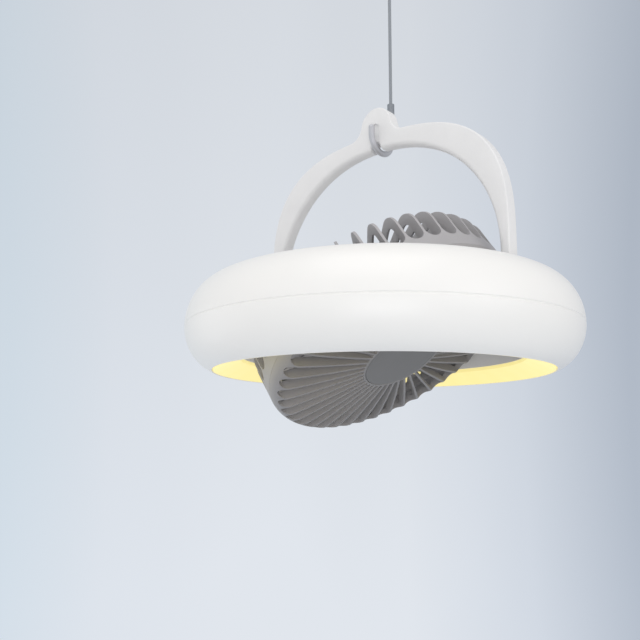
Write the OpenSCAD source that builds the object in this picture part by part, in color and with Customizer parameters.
// Hanging camping fan: a ring-shaped lamp on a cord and hook, with a tilting fan head inside the ring.
// Millimetres. The origin is the centre of the hanging eye at the top of the cord, +Z up.
// The carrying handle stands in the XZ plane, and the fan head tilts about an axis along Y.

/* [Ring] */
// Room between the fan head's side and the ring's open middle
ring_gap = 4; // [3.75:0.25:6]
// From the open middle out to the crown, where the ring is tallest
crown_in = 8; // [7.5:0.5:10]
// From the crown out to the ring's edge, at the joint between its two shells
crown_out = 20; // [18:0.5:26]
// Height of the crown above the joint
crown_h = 24.5; // [24:0.5:30]
// Depth of the lower shell's curve below the joint
keel_h = 22.5; // [21.5:0.5:25]
// Height where the throat of the upper shell becomes upright
throat_z = 15.5; // [14:0.5:17]
// Wall of the two ring shells
ring_wall = 2.2; // [1.6:0.1:3]
// From the crown out to the lower shell's lip, where the light cover starts
lip_out = 6; // [5:0.5:8]
// Depth of the groove that shows the joint between the shells
seam = 0.3; // [0.1:0.1:0.6]
// Top of the grey liner inside the ring's open middle
liner_top = 9; // [6:0.5:11]
// Bottom edge of the light cover's inner rim, below the joint
cover_in_z = 15.1; // [14.5:0.1:16]
// Thickness of the light cover
cover_t = 1.8; // [1:0.1:2.5]

/* [Light] */
// Underside of the reflector plate, below the joint
reflector_z = 9.8; // [9.4:0.1:10.2]
// Thickness of the reflector plate
reflector_t = 1.2; // [1:0.1:1.2]
// Thickness of the lamp's circuit board
led_board_t = 1.2; // [0.8:0.1:1.6]
// Number of lamp chips
led_count = 36; // [12:1:48]
// Length of a lamp chip
led_l = 3.5; // [2:0.1:5]
// From the crown out to the middle of the screw posts
post_out = 8.5; // [8.3:0.1:8.7]
// Radius of a screw post
post_r = 2.8; // [2.4:0.1:2.8]
// Radius of the reflector screws' thread
screw_r = 1.1; // [0.9:0.05:1.3]

/* [Batteries] */
// Radius of a battery cell
cell_r = 9; // [7:0.5:9]
// Length of a battery cell
cell_l = 50; // [40:1:52]
// Thickness of a cell cradle under its cell
cradle_t = 1; // [0.8:0.1:1.4]

/* [Handle] */
// Thickness of the handle's plate
handle_t = 7.8; // [6:0.2:8.4]
// How far the legs stand into the ring's open middle
leg_in = 1.5; // [1:0.1:1.7]
// Width of a leg, across the ring
leg_w = 5.5; // [5:0.1:5.7]
// Height of the arch's shoulders above the ring's joint
arch_z = 34; // [30:1:40]
// Top of the arch, outside
arch_top = 106; // [104:0.5:110]
// Top of the arch, inside
arch_in_top = 97.5; // [95:0.5:98.5]
// Radius of the bump on the arch
bump_r = 9.5; // [8:0.5:11]
// Height of the bump's centre
bump_z = 112; // [110:0.5:115]
// Top of the notch that the hook seats in
notch_top = 101.8; // [101:0.2:103]
// Radius of the notch's top
notch_r = 1.9; // [1.9:0.05:2.4]
// Height of the handle's pivot above the ring's joint
pivot_z = 19; // [18:0.25:19.5]
// Radius of the handle's pins
handle_pin_r = 1.5; // [1.2:0.1:1.8]
// Furthest swing of the handle to either side, in degrees
handle_swing = 60; // [40:5:65]

/* [Hook and cord] */
// Diameter of the cord
cord_d = 1.8; // [1.4:0.1:2.4]
// Radius of the hook's rod
rod_r = 1.6; // [1.2:0.1:1.8]
// Radius of the hook's bend, to the middle of the rod
bend_r = 8.75; // [8.5:0.25:11]
// Drop from the cord's lower end to the middle of the bend's lowest point
hook_drop = 31; // [27:0.5:36]
// Height of the hook's tip above the bend's centre
tip_h = 3.4; // [2:0.1:8]
// Length of the crimped sleeve at the cord's lower end
ferrule_l = 9.5; // [7:0.5:12]
// Radius of the sleeve
ferrule_r = 1.95; // [1.9:0.05:2.6]
// Hole radius of the hanging eye
eye_r = 5; // [4:0.5:8]
// Thickness of the hanging eye
eye_t = 2.4; // [2:0.2:4]

/* [Fan head] */
// Radius of the fan head
fan_r = 68; // [67:0.25:68.25]
// Front of the grille, from the tilt axis
fan_front = 20.7; // [19.5:0.1:22]
// Rear of the head, from the tilt axis
fan_rear = 15.5; // [15:0.1:17]
// Rounding of the front shoulder
front_round = 8.6; // [7:0.2:10]
// Rounding of the rear shoulder
rear_round = 9.6; // [9:0.2:11]
// Wall of the head's shell
fan_wall = 2; // [1.4:0.1:2.4]
// Height of the tilt axis above the ring's joint
fan_z = 4.5; // [3:0.25:5]
// How far the head is tilted from facing straight down, in degrees
fan_tilt = 35; // [0:1:60]
// Number of ribs in the front grille and of fins in the rear vent
rib_count = 44; // [30:1:52]
// Direction of the first rear fin, in degrees
fin_turn = 4.8; // [0:0.1:8]
// Direction of the first front rib, in degrees
rib_turn = 1.5; // [0:0.1:8]
// Thickness of a front rib
rib_t = 1.2; // [0.8:0.1:1.6]
// Depth of a front rib
rib_depth = 5.5; // [4:0.25:6]
// Thickness of a rear fin
fin_t = 1.2; // [0.8:0.1:1.6]
// Depth of a rear fin
fin_depth = 5.5; // [4:0.25:6]
// End of the rear vent's slots along the side wall, in front of the tilt axis
slot_end = 5.5; // [4:0.5:7]
// Radius of the front cap
cap_r = 21; // [18:0.5:24]
// Rise of the grille's domed face, from its edge to the cap
cap_rise = 3; // [2:0.1:3.6]
// Radius of the tilt pins
tilt_pin_r = 3; // [2:0.25:3.5]

/* [Impeller and motor] */
// Number of blades
blade_count = 7; // [3:1:9]
// Gap between the blades' tips and the vent's fins
blade_gap = 2; // [1.75:0.25:10]
// Thickness of a blade
blade_t = 1.5; // [1:0.1:2]
// Pitch of the blades, in degrees
blade_pitch = 32; // [20:1:38]
// Radius of the impeller's hub
hub_r = 20.5; // [19.5:0.25:22]
// Wall of the impeller's hub
hub_wall = 1.5; // [1:0.1:1.8]
// Radius of the motor's shaft
shaft_r = 1.5; // [1:0.1:1.6]
// Outer radius of the motor's bearings
bearing_r = 4; // [3.5:0.25:4.5]
// Width of a bearing
bearing_w = 3; // [2:0.25:3.5]

/* [Controls] */
// Direction of the control panel round the ring, in degrees
panel_a = 135; // [130:1:140]
// Radius of a button
button_r = 4; // [3:0.25:4.25]
// Distance between the two buttons' middles
button_gap = 18; // [17:0.5:20]
// Height of the buttons above the ring's joint
button_z = 8; // [7:0.25:8.5]
// Travel of a button
button_travel = 0.5; // [0.3:0.1:0.6]
// Width of the charging socket
usb_w = 9; // [8.6:0.1:9.4]
// Height of the charging socket
usb_h = 3.3; // [3:0.1:3.6]

/* [Hidden] */
$fn = 96;

clear = 0.3;        // between a fixed piece and one that moves past it
run = 0.05;         // radial clearance of a running fit
seat_gap = 0.1;     // between the hook's rod and the top of the notch
deep = 200;         // longer than any cut needs

// the cord hangs straight, from the sleeve up to the eye's barrel
cord_route = [[0, 0, -80], [0, 0, -75], [0, 0, -70], [0, 0, -65], [0, 0, -60], [0, 0, -55], [0, 0, -50],
              [0, 0, -45], [0, 0, -40], [0, 0, -35], [0, 0, -30], [0, 0, -25], [0, 0, -20], [0, 0, -16],
              [0, 0, -12]];
cord_sides = 8;
cord_low = cord_route[0][2];
cord_high = cord_route[len(cord_route) - 1][2];

// where the lamp hangs: the hook's rod rises inside the handle's thickness, and the notch rests on it
bend_back = 1.75;   // the bend's middle lies this far behind the handle's middle plane
bend_low = cord_low - hook_drop;
bend_z = bend_low + bend_r;
rod_in_r = bend_r - rod_r;
rod_top = bend_z - sqrt(pow(rod_in_r, 2) - pow(handle_t / 2 + bend_back, 2));
lamp_y = -bend_r - bend_back;
lamp_z = rod_top + seat_gap - notch_top;

// the ring's section
bore_r = fan_r + ring_gap;
crown_r = bore_r + crown_in;
ring_r = crown_r + crown_out;
ring_a = crown_out;
throat_a = crown_in;
lip_r = crown_r + lip_out;
post_ring_r = crown_r + post_out;
throat_b = crown_h - throat_z;
in_a = ring_a - ring_wall;
in_top = crown_h - ring_wall;
in_keel = keel_h - ring_wall;
liner_r = bore_r + ring_wall;
arc_steps = 14;
plate_top = -reflector_z + reflector_t;      // top of the reflector plate
ledge_t = 1.4;                               // ledge of the lower shell over the reflector's edge
ledge_in = post_ring_r + post_r + 0.2;
function oval(rc, zc, a, b, from, to, n = arc_steps) =
    [for (i = [0:n]) let (t = from + (to - from) * i / n) [rc + a * cos(t), zc + b * sin(t)]];
function reversed(list) = [for (i = [len(list) - 1:-1:0]) list[i]];
function in_r_at(z) = crown_r + in_a * sqrt(1 - pow(z / (z > 0 ? in_top : in_keel), 2));
lip_angle = acos((lip_r - crown_r) / ring_a);
in_lip_angle = acos((lip_r - 0.6 - crown_r) / in_a);
lip_z = -keel_h * sin(lip_angle);

// the handle
arch_power = [2.8, 3.1];
arch_in_power = [2.2, 1.9];
arch_steps = 40;
arch_in_r = bore_r - leg_in;
arch_r = arch_in_r + leg_w;
leg_r = handle_t / 2;
recess_r = leg_r + 0.4;
recess_out = arch_r + 0.4;
handle_head_r = 2.6;
handle_head_t = 1;
bush_wall = 0.7;
bush_r = handle_pin_r + bush_wall;
handle_pin_out = recess_out + 8;
pin_block = 3.4;

// the fan head, drawn with its own +Z towards its front
grille_z = fan_front - front_round;
fin_in_r = fan_r - fin_depth;
vent_r = 26;
plate_r = vent_r + 1.5;
plate_t = 3;
slot_pitch = 360 / rib_count;
slot_half = slot_pitch / 2;
slot_r = fan_r * tan(slot_half) - fin_t / 2;
boss_a = 11;        // no slot is cut this close to a tilt pin, in degrees
boss_r = 6.5;
bush_in = fin_in_r + clear;
tilt_bush_r = tilt_pin_r + 1.6;
tilt_pin_in = bush_in + 0.4;
bracket_out = liner_r + 9;
tilt_pin_out = bracket_out + 0.4;

// the motor, along the fan's own axis
base_z = -fan_rear + plate_t;
housing_r = bearing_r + 1.5;
housing_top = 6;
rear_bearing_z = -9.5;
front_bearing_z = housing_top - bearing_w - 0.5;
cup_r = hub_r - hub_wall;
cup_wall = 1.2;
cup_top = 8.2;
cup_low = -8;
magnet_t = 1.6;
magnet_r = cup_r - cup_wall;
stator_r = magnet_r - magnet_t - 0.5;
stator_z = [-6, 0];
winding_t = 2;
hub_boss_r = 4;
hub_boss_l = 4;
blade_r = fin_in_r - blade_gap;
blade_z = [-8.5, 12.5];

// the control panel
board_x = ring_r - 14.2;
board_t = 1.2;
board_w = 40;
board_z = [-7, 15];
switch_x = board_x + board_t;
switch_h = 2.5;
switch_floor = 0.8;
flange_x = switch_x + switch_h + button_travel + 0.2;
flange_t = 0.6;
flange_r = button_r + 0.5;
lead_r = board_x - 1.1;
button_face = ring_r - 0.6;
stem_r = 1.6;
usb_z = -4;
usb_face = ring_r - 1;
pipe_r = 0.8;
pipe_y = [-3, -1, 1, 3];

screw_head_r = 2.2;     // reflector screws
screw_head_t = 1.5;
screw_l = 11;
motor_screw_at = 10.5;  // motor screws, from the fan's axis
motor_screw_r = 0.9;
motor_screw_head_r = 1.9;
motor_screw_head_t = 1.1;
motor_flange_t = 1.5;
motor_hole_r = motor_screw_r + 0.2;
seat_t = 1;             // back plate left under a motor screw's point

cell_angles = [45, 225];
cradle_in = 3;          // a cradle is narrower than its cell by this much on each side
cradle_short = 9;       // and shorter at each end
cradle_lip = 3;
cell_mid_r = liner_r + cell_r + 0.4;
cell_z = plate_top + cradle_t + cell_r;
post_count = 8;

module lamp() { translate([0, lamp_y, lamp_z]) children(); }
module fan_frame() {
    lamp() translate([0, 0, fan_z]) rotate([0, -fan_tilt, 0]) rotate([180, 0, 0]) children();
}
module tube(r_out, r_in, low, high) {
    translate([0, 0, low]) difference() {
        cylinder(r = r_out, h = high - low);
        translate([0, 0, -1]) cylinder(r = r_in, h = high - low + 2);
    }
}
// a rod along +X from x = low to x = high
module x_rod(r, low, high) { translate([low, 0, 0]) rotate([0, 90, 0]) cylinder(r = r, h = high - low); }
// a rod along +Y
module y_rod(r, low, high) { translate([0, low, 0]) rotate([-90, 0, 0]) cylinder(r = r, h = high - low); }
module both_sides() { children(); rotate([0, 0, 180]) children(); }

// ---- cord, hook and hanging eye ----
module hang_eye() {
    collar_r = 2.6;
    color("silver") union() {
        difference() {
            union() {
                rotate([90, 0, 0]) cylinder(r = eye_r + 3, h = eye_t, center = true);
                translate([0, 0, cord_high]) cylinder(r = collar_r, h = -cord_high - eye_r - 1);
            }
            rotate([90, 0, 0]) cylinder(r = eye_r, h = 4 * eye_t, center = true);
        }
    }
}

// a ring of points round each point of the cord's route
function ring_points(p) =
    [for (k = [0:cord_sides - 1]) p + cord_d / 2 * [cos(360 * k / cord_sides), sin(360 * k / cord_sides), 0]];
module cord() {
    rings = len(cord_route);
    points = [for (p = cord_route) each ring_points(p)];
    sides = [for (i = [0:rings - 2], k = [0:cord_sides - 1])
        [i * cord_sides + k, (i + 1) * cord_sides + k,
         (i + 1) * cord_sides + (k + 1) % cord_sides, i * cord_sides + (k + 1) % cord_sides]];
    low_end = [for (k = [0:cord_sides - 1]) k];
    high_end = [for (k = [cord_sides - 1:-1:0]) (rings - 1) * cord_sides + k];
    color("slategray") polyhedron(points = points, faces = concat([low_end], sides, [high_end]));
}

module cord_ferrule() {
    color("dimgray") translate([0, 0, cord_low - ferrule_l]) cylinder(r = ferrule_r, h = ferrule_l);
}

module hook() {
    shank_top = cord_low - ferrule_l;
    color("gray") union() {
        translate([0, 0, bend_z]) cylinder(r = rod_r, h = shank_top - bend_z);
        translate([0, -bend_r, bend_z]) rotate([90, 0, 90]) rotate([0, 0, 180])
            rotate_extrude(angle = 180) translate([bend_r, 0]) circle(r = rod_r);
        translate([0, -2 * bend_r, bend_z]) cylinder(r = rod_r, h = tip_h);
        translate([0, -2 * bend_r, bend_z + tip_h]) sphere(r = rod_r);
    }
}

// ---- handle ----
function arch(half, top, power) = [for (i = [-arch_steps:arch_steps])
    let (t = 90 * i / arch_steps, s = sign(i) * pow(abs(sin(t)), 2 / power[0]), c = pow(cos(t), 2 / power[1]))
        [half * s, arch_z + (top - arch_z) * c]];
function circle_arc(x, z, r, from, to, n) =
    [for (i = [0:n]) let (t = from + (to - from) * i / n) [x + r * cos(t), z + r * sin(t)]];
function mirrored(list) = [for (p = reversed(list)) [-p[0], p[1]]];
// the bump's flank: a hollow curve from the arch up to the round top
flank_r = 9;
flank_z = arch_top - 0.4 + flank_r;
flank_x = sqrt(pow(bump_r + flank_r, 2) - pow(flank_z - bump_z, 2));
flank_a = atan2(flank_z - bump_z, flank_x);
right_bump = concat(circle_arc(0, bump_z, bump_r, 90, flank_a, 8),
    circle_arc(flank_x, flank_z, flank_r, 180 + flank_a + 8, 270, 6));
// the notch: round at the top, and open below by as much as the lamp swings on the hook
notch_open = 30;
notch_z = notch_top - notch_r;
notch_side = notch_r / cos(notch_open);
mouth_z = arch_in_top - 0.05;
mouth_x = notch_side + (notch_z - mouth_z) * tan(notch_open);
right_notch = concat(circle_arc(0, notch_z, notch_r, 90, notch_open, 6), [[mouth_x, mouth_z]]);
module arch_plate() {
    outer = [for (p = arch(arch_r, arch_top, arch_power)) if (p[0] > flank_x + 1) p];
    inner = [for (p = arch(arch_in_r, arch_in_top, arch_in_power)) if (p[0] > mouth_x + 1) p];
    half = concat(right_bump, outer, [[arch_r, pivot_z], [arch_in_r, pivot_z]], reversed(inner),
        reversed(right_notch));
    polygon(concat(half, mirrored(half)));
}
// a leg's rounded end, seen along X
module foot_outline() {
    polygon(concat([for (i = [0:12]) let (t = 180 + 15 * i) [leg_r * cos(t), leg_r * sin(t)]],
        [[leg_r, 1], [-leg_r, 1]]));
}
module handle() {
    groove_r = 2.6;
    groove_t = 0.9;
    groove_low = arch_in_top - 2;
    groove_high = notch_top + 8;
    color("white") lamp() difference() {
        union() {
            rotate([90, 0, 0]) linear_extrude(handle_t, center = true) arch_plate();
            both_sides() translate([arch_in_r, 0, pivot_z]) rotate([90, 0, 90])
                linear_extrude(arch_r - arch_in_r) foot_outline();
        }
        both_sides() translate([0, 0, pivot_z]) {
            x_rod(bush_r, arch_in_r - 1, arch_r + 1);
            x_rod(handle_head_r + 0.1, arch_in_r - 1, arch_in_r + handle_head_t + 0.1);
        }
        // shallow groove in the front face, beside the hook's tip
        translate([0, -handle_t / 2, groove_high]) rotate([90, 0, 0])
            cylinder(r = groove_r, h = 2 * groove_t, center = true);
        translate([-groove_r, -handle_t / 2 - groove_t, groove_low])
            cube([2 * groove_r, 2 * groove_t, groove_high - groove_low]);
    }
}

module handle_bushes() {
    color("dimgray") lamp() both_sides() translate([0, 0, pivot_z]) difference() {
        x_rod(bush_r, arch_in_r + handle_head_t + 0.1, arch_r);
        x_rod(handle_pin_r + run, arch_in_r, arch_r + 1);
    }
}

module handle_pins() {
    color("silver") lamp() both_sides() translate([0, 0, pivot_z]) union() {
        x_rod(handle_pin_r, arch_in_r + 0.2, handle_pin_out);
        x_rod(handle_head_r, arch_in_r + 0.1, arch_in_r + handle_head_t);
    }
}

// ---- ring ----
// the space inside the upper shell, out to the middle of its wall
module upper_space() {
    inset = ring_wall / 2;
    rotate_extrude($fn = 180) polygon(concat([[ring_r - inset, plate_top]],
        oval(crown_r, 0, ring_a - inset, crown_h - inset, 0, 90),
        oval(crown_r, throat_z, throat_a - inset, throat_b - inset, 100, 180), [[bore_r + inset, plate_top]]));
}
// the handle's recess, seen along X: a round floor with straight sides at the handle's furthest swing
module recess_outline(grow) {
    reach = 20;
    r = recess_r + grow;
    top = [r * cos(handle_swing) + reach * tan(handle_swing), reach - r * sin(handle_swing)];
    floor_arc = [for (i = [0:6]) let (t = -90 + (90 - handle_swing) * (i / 3 - 1)) [r * cos(t), r * sin(t)]];
    polygon(concat(floor_arc, [top, [-top[0], top[1]]]));
}
module handle_recess(grow, low, high) {
    translate([low, 0, pivot_z]) rotate([90, 0, 90]) linear_extrude(high - low) recess_outline(grow);
}
module at_posts() {
    for (i = [0:post_count - 1]) rotate([0, 0, (i + 0.5) * 360 / post_count])
        translate([post_ring_r, 0, 0]) children();
}
module at_panel() { rotate([0, 0, panel_a]) children(); }
module at_buttons() { for (side = [-1, 1]) translate([0, side * button_gap / 2, button_z]) children(); }
module at_motor_screws() {
    for (i = [0:2]) rotate([0, 0, i * 120]) translate([motor_screw_at, 0, 0]) children();
}

module upper_shell() {
    outside = concat([[ring_r - seam, 0]], oval(crown_r, 0, ring_a, crown_h, 1, 90),
        oval(crown_r, throat_z, throat_a, throat_b, 90, 180), [[bore_r, liner_top]]);
    inside = concat(oval(crown_r, 0, in_a, in_top, 0, 90),
        oval(crown_r, throat_z, crown_r - liner_r, in_top - throat_z, 90, 180), [[liner_r, liner_top]]);
    color("white") lamp() difference() {
        union() {
            rotate_extrude($fn = 180) polygon(concat(outside, reversed(inside)));
            intersection() {
                upper_space();
                union() {
                    both_sides() handle_recess(ring_wall, bore_r, recess_out + ring_wall);
                    both_sides() translate([recess_out + 1, -pin_block, pivot_z - pin_block])
                        cube([handle_pin_out - recess_out - 1, 2 * pin_block, crown_h]);
                    at_posts() translate([0, 0, plate_top]) cylinder(r = post_r, h = crown_h - plate_top);
                }
            }
        }
        both_sides() handle_recess(0, bore_r - 3, recess_out);
        both_sides() translate([0, 0, pivot_z]) x_rod(handle_pin_r, recess_out - 1, handle_pin_out + 1);
        at_posts() translate([0, 0, plate_top - 1]) cylinder(r = screw_r, h = screw_l);
        at_panel() {
            at_buttons() x_rod(button_r + clear, flange_x, ring_r + 2);
            for (y = pipe_y) translate([0, y, button_z]) x_rod(pipe_r, flange_x, ring_r + 2);
        }
    }
}

module lower_shell() {
    outside = concat([[ring_r - seam, 0]], oval(crown_r, 0, ring_a, keel_h, -1, -lip_angle));
    inside = oval(crown_r, 0, in_a, in_keel, 0, -in_lip_angle);
    color("white") lamp() difference() {
        union() {
            rotate_extrude($fn = 180) polygon(concat(outside, reversed(inside)));
            rotate_extrude($fn = 180) polygon([[ledge_in, plate_top + ledge_t], [ledge_in, plate_top],
                [in_r_at(plate_top) + 0.5, plate_top], [in_r_at(plate_top) + 0.5, plate_top + ledge_t]]);
        }
        at_panel() translate([0, 0, usb_z]) usb_outline(0.15, flange_x, ring_r + 2);
    }
}

module inner_liner() {
    low = -cover_in_z + cover_t;
    color("gainsboro") lamp() difference() {
        tube(liner_r, bore_r, low, liner_top);
        translate([0, 0, fan_z]) y_rod(tilt_pin_r, -ring_r, ring_r);
    }
}

module light_cover() {
    edge = 0.15;
    out_r = lip_r - 0.6 - edge;
    color("khaki") lamp() rotate_extrude($fn = 180) polygon([
        [out_r, lip_z + edge], [bore_r + 0.2, -cover_in_z], [bore_r + 0.2, -cover_in_z + cover_t],
        [liner_r, -cover_in_z + cover_t], [out_r, lip_z + edge + cover_t]]);
}

module reflector() {
    color("whitesmoke") lamp() difference() {
        tube(in_r_at(-reflector_z) - clear, liner_r, -reflector_z, plate_top);
        at_posts() translate([0, 0, -reflector_z - 1]) cylinder(r = screw_r + 0.2, h = reflector_t + 2);
    }
}

module led_board() {
    color("ivory") lamp() tube(post_ring_r - 2.6, liner_r + 0.8, -reflector_z - led_board_t, -reflector_z);
}

module led_chips() {
    led_w = 2.8;
    led_t = 0.8;
    led_z = -reflector_z - led_board_t - led_t / 2;
    color("lightyellow") lamp() for (i = [0:led_count - 1]) rotate([0, 0, 360 * i / led_count])
        translate([crown_r, 0, led_z]) cube([led_w, led_l, led_t], center = true);
}

module reflector_screws() {
    color("silver") lamp() at_posts() union() {
        translate([0, 0, -reflector_z]) cylinder(r = screw_r, h = screw_l);
        translate([0, 0, -reflector_z - screw_head_t]) cylinder(r = screw_head_r, h = screw_head_t);
    }
}

// ---- batteries ----
module battery_cell(i) {
    nub_r = 2.8;
    nub_l = 1;
    color("mediumseagreen") lamp() rotate([0, 0, cell_angles[i]]) translate([cell_mid_r, 0, cell_z]) {
        y_rod(cell_r, -cell_l / 2, cell_l / 2 - nub_l);
        y_rod(nub_r, cell_l / 2 - nub_l, cell_l / 2);
    }
}
module cell_cradle(i) {
    half = cell_r - cradle_in;
    length = cell_l - 2 * cradle_short;
    color("dimgray") lamp() rotate([0, 0, cell_angles[i]]) difference() {
        translate([cell_mid_r - half, -length / 2, plate_top]) cube([2 * half, length, cradle_t + cradle_lip]);
        translate([cell_mid_r, 0, cell_z]) y_rod(cell_r, -cell_l, cell_l);
    }
}
module battery_cell_1() { battery_cell(0); }
module battery_cell_2() { battery_cell(1); }
module cell_cradle_1() { cell_cradle(0); }
module cell_cradle_2() { cell_cradle(1); }

// a wire that follows the ring, from one direction to another
module ring_wire(r, z, wire_r, from, to) {
    rotate([0, 0, from]) translate([0, 0, z]) rotate_extrude(angle = to - from)
        translate([r, 0]) circle(r = wire_r, $fn = 24);
}
module battery_leads() {
    wire_r = 0.8;
    end_a = asin(cell_l / 2 / lead_r) + 0.3;
    color("firebrick") lamp() {
        ring_wire(lead_r, cell_z, wire_r, cell_angles[0] + end_a, panel_a - 3);
        ring_wire(lead_r, cell_z, wire_r, panel_a + 3, cell_angles[1] - end_a);
        ring_wire(lead_r, cell_z, wire_r, cell_angles[1] + end_a, cell_angles[0] + 360 - end_a);
    }
}

// ---- control panel ----
module control_board() {
    color("darkgreen") lamp() at_panel()
        translate([board_x, -board_w / 2, board_z[0]]) cube([board_t, board_w, board_z[1] - board_z[0]]);
}
module button_switches() {
    size = 6;
    color("dimgray") lamp() at_panel() at_buttons() difference() {
        translate([switch_x, -size / 2, -size / 2]) cube([switch_h, size, size]);
        x_rod(stem_r + clear / 2, switch_x + switch_floor, flange_x);
    }
}
module usb_outline(grow, low, high) {
    r = usb_h / 2 + grow;
    half = usb_w / 2 - usb_h / 2;
    for (side = [-1, 1]) translate([0, side * half, 0]) x_rod(r, low, high);
    translate([low, -half, -r]) cube([high - low, 2 * half, 2 * r]);
}
module charging_socket() {
    wall = 0.35;
    tongue_w = usb_w - 2.8;
    tongue_t = 0.7;
    tongue_back = 0.8;
    color("silver") lamp() at_panel() translate([0, 0, usb_z]) difference() {
        usb_outline(0, switch_x, usb_face);
        difference() {
            usb_outline(-wall, switch_x + 1.5, ring_r);
            translate([switch_x, -tongue_w / 2, -tongue_t / 2])
                cube([usb_face - switch_x - tongue_back, tongue_w, tongue_t]);
        }
    }
}
module charge_lights() {
    bar_t = 1;
    color("white") lamp() at_panel() translate([0, 0, button_z]) union() {
        for (y = pipe_y) translate([0, y, 0]) x_rod(pipe_r, switch_x, button_face - 0.5);
        translate([switch_x, -4, -1]) cube([bar_t, 8, 2]);
    }
}
module panel_button(side) {
    lamp() at_panel() translate([0, side * button_gap / 2, button_z]) union() {
        x_rod(button_r, flange_x, button_face);
        x_rod(flange_r, flange_x, flange_x + flange_t);
        x_rod(stem_r, switch_x + switch_floor + button_travel + 0.2, flange_x);
    }
}
module fan_button() { color("lightgray") panel_button(-1); }
module light_button() { color("lightgray") panel_button(1); }

// from the control board to the mouth of the hollow tilt pin
module motor_lead() {
    wire_r = 0.8;
    color("black") lamp() ring_wire(lead_r, fan_z, wire_r, 89, panel_a - 3);
}

// ---- tilt pivots, fixed in the ring ----
module tilt_brackets() {
    half = 8;
    height = fan_z + half - plate_top;
    color("gainsboro") lamp() both_sides() difference() {
        translate([-half, bore_r, plate_top]) cube([2 * half, bracket_out - bore_r, height]);
        translate([0, 0, -deep / 2]) cylinder(r = liner_r, h = deep, $fn = 180);
        translate([0, 0, fan_z]) y_rod(tilt_pin_r, bore_r, ring_r);
    }
}
module tilt_pin() {
    color("silver") lamp() translate([0, 0, fan_z]) y_rod(tilt_pin_r, -tilt_pin_out, -tilt_pin_in);
}
module tilt_tube() {
    color("silver") lamp() translate([0, 0, fan_z]) difference() {
        y_rod(tilt_pin_r, tilt_pin_in, tilt_pin_out);
        y_rod(tilt_pin_r - 1, tilt_pin_in - 1, tilt_pin_out + 1);
    }
}
module tilt_washers() {
    washer_r = 5.5;
    color("dimgray") lamp() both_sides() translate([0, 0, fan_z]) difference() {
        y_rod(washer_r, fan_r + 0.15, bore_r - 0.25);
        y_rod(tilt_pin_r, fan_r, bore_r);
    }
}

// ---- fan head ----
// a quarter of a rounded shoulder, as points from the side to the face
function shoulder(r, z, round, up) = [for (i = [0:8]) let (t = 90 * i / 8)
    [r - round + round * cos(t), z + up * round * sin(t)]];
rear_arc_z = -fan_rear + rear_round;
module rear_body() {
    outside = concat([[fan_r, grille_z]], shoulder(fan_r, rear_arc_z, rear_round, -1), [[0, -fan_rear]]);
    step = [[fan_r - fan_wall, grille_z], [fan_r - fan_wall, slot_end + 1], [fin_in_r, slot_end - 2.5]];
    inside = concat(step,
        shoulder(fin_in_r, rear_arc_z, rear_round - fin_depth + 1, -1),
        [[plate_r, -fan_rear + fin_depth - 1], [plate_r, base_z], [0, base_z]]);
    rotate_extrude() polygon(concat(outside, reversed(inside)));
}
// one vent slot: a wedge from the plate to past the side wall, with a round end on the wall
module vent_slot() {
    out = fan_r + 4;
    half_in = vent_r * tan(slot_half) - fin_t / 2;
    half_out = out * tan(slot_half) - fin_t / 2;
    translate([0, 0, -fan_rear - 5]) linear_extrude(fan_rear + 5 + slot_end - slot_r)
        polygon([[vent_r, -half_in], [out, -half_out], [out, half_out], [vent_r, half_in]]);
    translate([0, 0, slot_end - slot_r]) x_rod(slot_r, fin_in_r - 2, out);
}
function near_pin(a) = abs(abs(a > 180 ? a - 360 : a) - 90) < boss_a;
module rear_shell() {
    color("gray") fan_frame() difference() {
        union() {
            difference() {
                rear_body();
                for (i = [0:rib_count - 1]) let (a = fin_turn + (i + 0.5) * slot_pitch)
                    if (!near_pin(a)) rotate([0, 0, a]) vent_slot();
            }
            both_sides() y_rod(boss_r, fin_in_r, fan_r - fan_wall / 2);
        }
        both_sides() y_rod(tilt_bush_r, fin_in_r - 1, fan_r + 1);
        at_motor_screws() translate([0, 0, -fan_rear + seat_t]) cylinder(r = motor_screw_r, h = plate_t);
    }
}

module tilt_bushes() {
    color("goldenrod") fan_frame() both_sides() difference() {
        y_rod(tilt_bush_r, bush_in, fan_r - 0.1);
        y_rod(tilt_pin_r + run, bush_in - 1, fan_r + 1);
    }
}

// the front grille's face is a shallow dome from the cap to the rounded shoulder
cap_t = 1.9;
face_top = fan_front + cap_rise;
hub_face = face_top - cap_t;
rim_t = 2.4;
slot_in_r = cap_r + 1.3;
slot_out = 40;      // the front slots end this far up the shoulder, in degrees
face_out = 84;      // and the dome begins this far up
function front_arc(r, from, to, n) = [for (i = [0:n]) let (t = from + (to - from) * i / n)
    [fan_r - front_round + r * cos(t), grille_z + r * sin(t)]];
face_edge = front_arc(front_round, face_out, face_out, 1)[0];
function face_z(r) = face_top - (face_top - face_edge[1])
    * (pow(r, 2) - pow(cap_r, 2)) / (pow(face_edge[0], 2) - pow(cap_r, 2));
module front_body() {
    seat_r = cap_r + 0.15;
    face_steps = 4;
    spigot_l = 4;
    spigot_r = fan_r - fan_wall;
    rotate_extrude() polygon(concat(
        [[0, hub_face], [seat_r, hub_face]],
        [for (i = [0:face_steps - 1]) let (r = seat_r + (face_edge[0] - seat_r) * i / face_steps)
            [r, face_z(r)]],
        front_arc(front_round, face_out, 0, 8),
        [[spigot_r, grille_z], [spigot_r, grille_z - spigot_l],
         [spigot_r - 1.5, grille_z - spigot_l], [spigot_r - 1.5, grille_z - 0.5]],
        front_arc(front_round - rim_t, 0, slot_out, 4),
        [[face_edge[0], face_edge[1] - rib_depth],
         [slot_in_r, face_top - rib_depth], [0, face_top - rib_depth]]));
}
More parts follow.
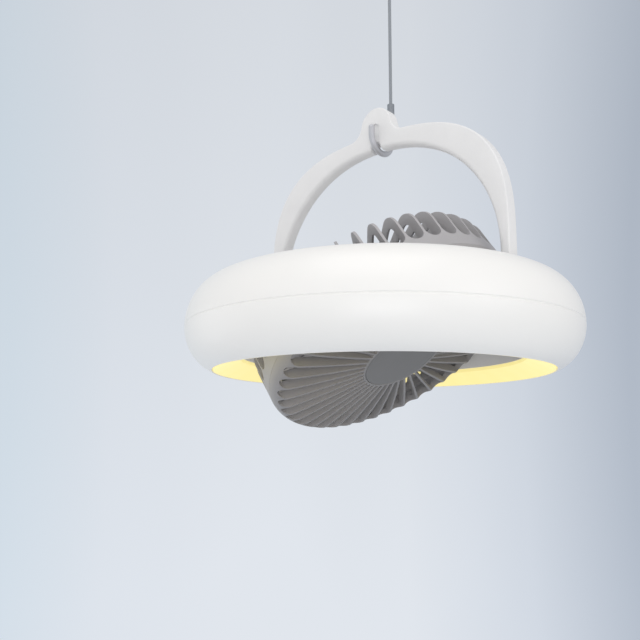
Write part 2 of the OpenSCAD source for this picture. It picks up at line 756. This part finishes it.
// one front slot: a wedge between two straight ribs, with a round end on the shoulder
module front_slot() {
    tip = front_arc(front_round, slot_out, slot_out, 1)[0][0];
    end_r = (tip * tan(slot_half) - rib_t / 2) / (1 + tan(slot_half));
    half_in = slot_in_r * tan(slot_half) - rib_t / 2;
    end_steps = 10;
    translate([0, 0, grille_z + 2]) linear_extrude(front_round + cap_rise) polygon(concat(
        [[slot_in_r, -half_in]],
        [for (i = [0:end_steps]) let (t = -90 + 180 * i / end_steps)
            [tip - end_r + end_r * cos(t), end_r * sin(t)]],
        [[slot_in_r, half_in]]));
}
module front_grille() {
    color("gray") fan_frame() difference() {
        front_body();
        for (i = [0:rib_count - 1]) rotate([0, 0, rib_turn + (i + 0.5) * slot_pitch]) front_slot();
    }
}
module front_cap() {
    cap_edge = 0.4;
    color("dimgray") fan_frame() translate([0, 0, hub_face]) union() {
        cylinder(r = cap_r, h = cap_t - cap_edge);
        translate([0, 0, cap_t - cap_edge]) cylinder(r1 = cap_r, r2 = cap_r - cap_edge, h = cap_edge);
    }
}

// ---- motor ----
module motor_base() {
    flange_r = 13;
    color("darkgray") fan_frame() difference() {
        union() {
            translate([0, 0, base_z]) cylinder(r = flange_r, h = motor_flange_t);
            translate([0, 0, base_z]) cylinder(r = housing_r, h = housing_top - base_z);
        }
        translate([0, 0, base_z + 1]) cylinder(r = shaft_r + 1, h = deep);
        translate([0, 0, base_z + 1]) cylinder(r = bearing_r, h = rear_bearing_z + bearing_w - base_z - 1);
        translate([0, 0, front_bearing_z]) cylinder(r = bearing_r, h = deep);
        at_motor_screws() translate([0, 0, base_z - 1]) cylinder(r = motor_hole_r, h = motor_flange_t + 2);
    }
}
module motor_screws() {
    low = -fan_rear + seat_t;
    head_z = base_z + motor_flange_t;
    color("silver") fan_frame() at_motor_screws() union() {
        translate([0, 0, low]) cylinder(r = motor_screw_r, h = head_z - low);
        translate([0, 0, head_z]) cylinder(r = motor_screw_head_r, h = motor_screw_head_t);
    }
}
module motor_board() {
    top = stator_z[0] - winding_t - 0.6;
    color("darkgreen") fan_frame() tube(stator_r, housing_r, top - 1, top);
}
module motor_stator() {
    slots = 9;
    pocket_r = 1.7;
    pocket_at = stator_r - 4.6;
    mouth = 1;
    height = stator_z[1] - stator_z[0] + 2;
    color("slategray") fan_frame() difference() {
        tube(stator_r, housing_r, stator_z[0], stator_z[1]);
        for (i = [0:slots - 1]) rotate([0, 0, (i + 0.5) * 360 / slots]) {
            translate([pocket_at, 0, stator_z[0] - 1]) cylinder(r = pocket_r, h = height);
            translate([pocket_at, -mouth / 2, stator_z[0] - 1]) cube([stator_r, mouth, height]);
        }
    }
}
module motor_windings() {
    color("chocolate") fan_frame() {
        tube(stator_r - 2, housing_r + 1, stator_z[0] - winding_t, stator_z[0]);
        tube(stator_r - 2, housing_r + 1, stator_z[1], stator_z[1] + winding_t);
    }
}
module bearing(z) {
    race_t = 0.8;
    shield_in = 0.3;
    color("silver") fan_frame() difference() {
        tube(bearing_r, shaft_r + run, z, z + bearing_w);
        for (end = [z, z + bearing_w])
            tube(bearing_r - race_t, shaft_r + race_t, end - shield_in, end + shield_in);
    }
}
module front_bearing() { bearing(front_bearing_z); }
module rear_bearing() { bearing(rear_bearing_z); }

// ---- impeller, turning on the motor's shaft ----
module blade() {
    chord = (blade_z[1] - blade_z[0]) / sin(blade_pitch);
    intersection() {
        translate([hub_r - 0.8, 0, (blade_z[0] + blade_z[1]) / 2]) rotate([-90 + blade_pitch, 0, 0])
            translate([0, -chord, -blade_t / 2]) cube([blade_r, 2 * chord, blade_t]);
        tube(blade_r, hub_r - 0.6, blade_z[0], blade_z[1]);
    }
}
module impeller() {
    color("lightgray") fan_frame() difference() {
        union() {
            tube(hub_r, cup_r, cup_low, cup_top);
            translate([0, 0, cup_top]) cylinder(r = hub_r, h = hub_wall);
            translate([0, 0, cup_top + hub_wall]) cylinder(r = hub_boss_r, h = hub_boss_l);
            for (i = [0:blade_count - 1]) rotate([0, 0, 360 * i / blade_count]) blade();
        }
        translate([0, 0, cup_low - 1]) cylinder(r = shaft_r, h = deep);
    }
}
module rotor_cup() {
    color("slategray") fan_frame() difference() {
        tube(cup_r, shaft_r, cup_low, cup_top);
        tube(cup_r - cup_wall, 3.2, cup_low - 1, cup_top - cup_wall);
        tube(3.3, shaft_r - 0.5, cup_low - 1, housing_top + 0.5);
    }
}
module rotor_magnet() {
    color("black") fan_frame() tube(magnet_r, magnet_r - magnet_t, cup_low + 0.6, cup_low + 9.6);
}
module motor_shaft() {
    low = base_z + 1.3;
    color("silver") fan_frame() difference() {
        translate([0, 0, low]) cylinder(r = shaft_r, h = cup_top + hub_wall + hub_boss_l - low);
        tube(shaft_r + 1, shaft_r - 0.3, rear_bearing_z - 0.8, rear_bearing_z - 0.2);
    }
}
module shaft_clip() {
    color("silver") fan_frame() tube(shaft_r + 0.9, shaft_r - 0.3, rear_bearing_z - 0.7, rear_bearing_z - 0.3);
}

hang_eye();
cord();
cord_ferrule();
hook();
handle();
handle_bushes();
upper_shell();
lower_shell();
inner_liner();
light_cover();
reflector();
led_board();
led_chips();
battery_cell_1();
battery_cell_2();
cell_cradle_1();
cell_cradle_2();
battery_leads();
control_board();
button_switches();
charging_socket();
charge_lights();
motor_lead();
handle_pins();
tilt_brackets();
tilt_pin();
tilt_tube();
tilt_washers();
reflector_screws();
fan_button();
light_button();
rear_shell();
front_grille();
front_cap();
tilt_bushes();
motor_base();
motor_screws();
motor_board();
motor_stator();
motor_windings();
front_bearing();
rear_bearing();
impeller();
rotor_cup();
rotor_magnet();
motor_shaft();
shaft_clip();
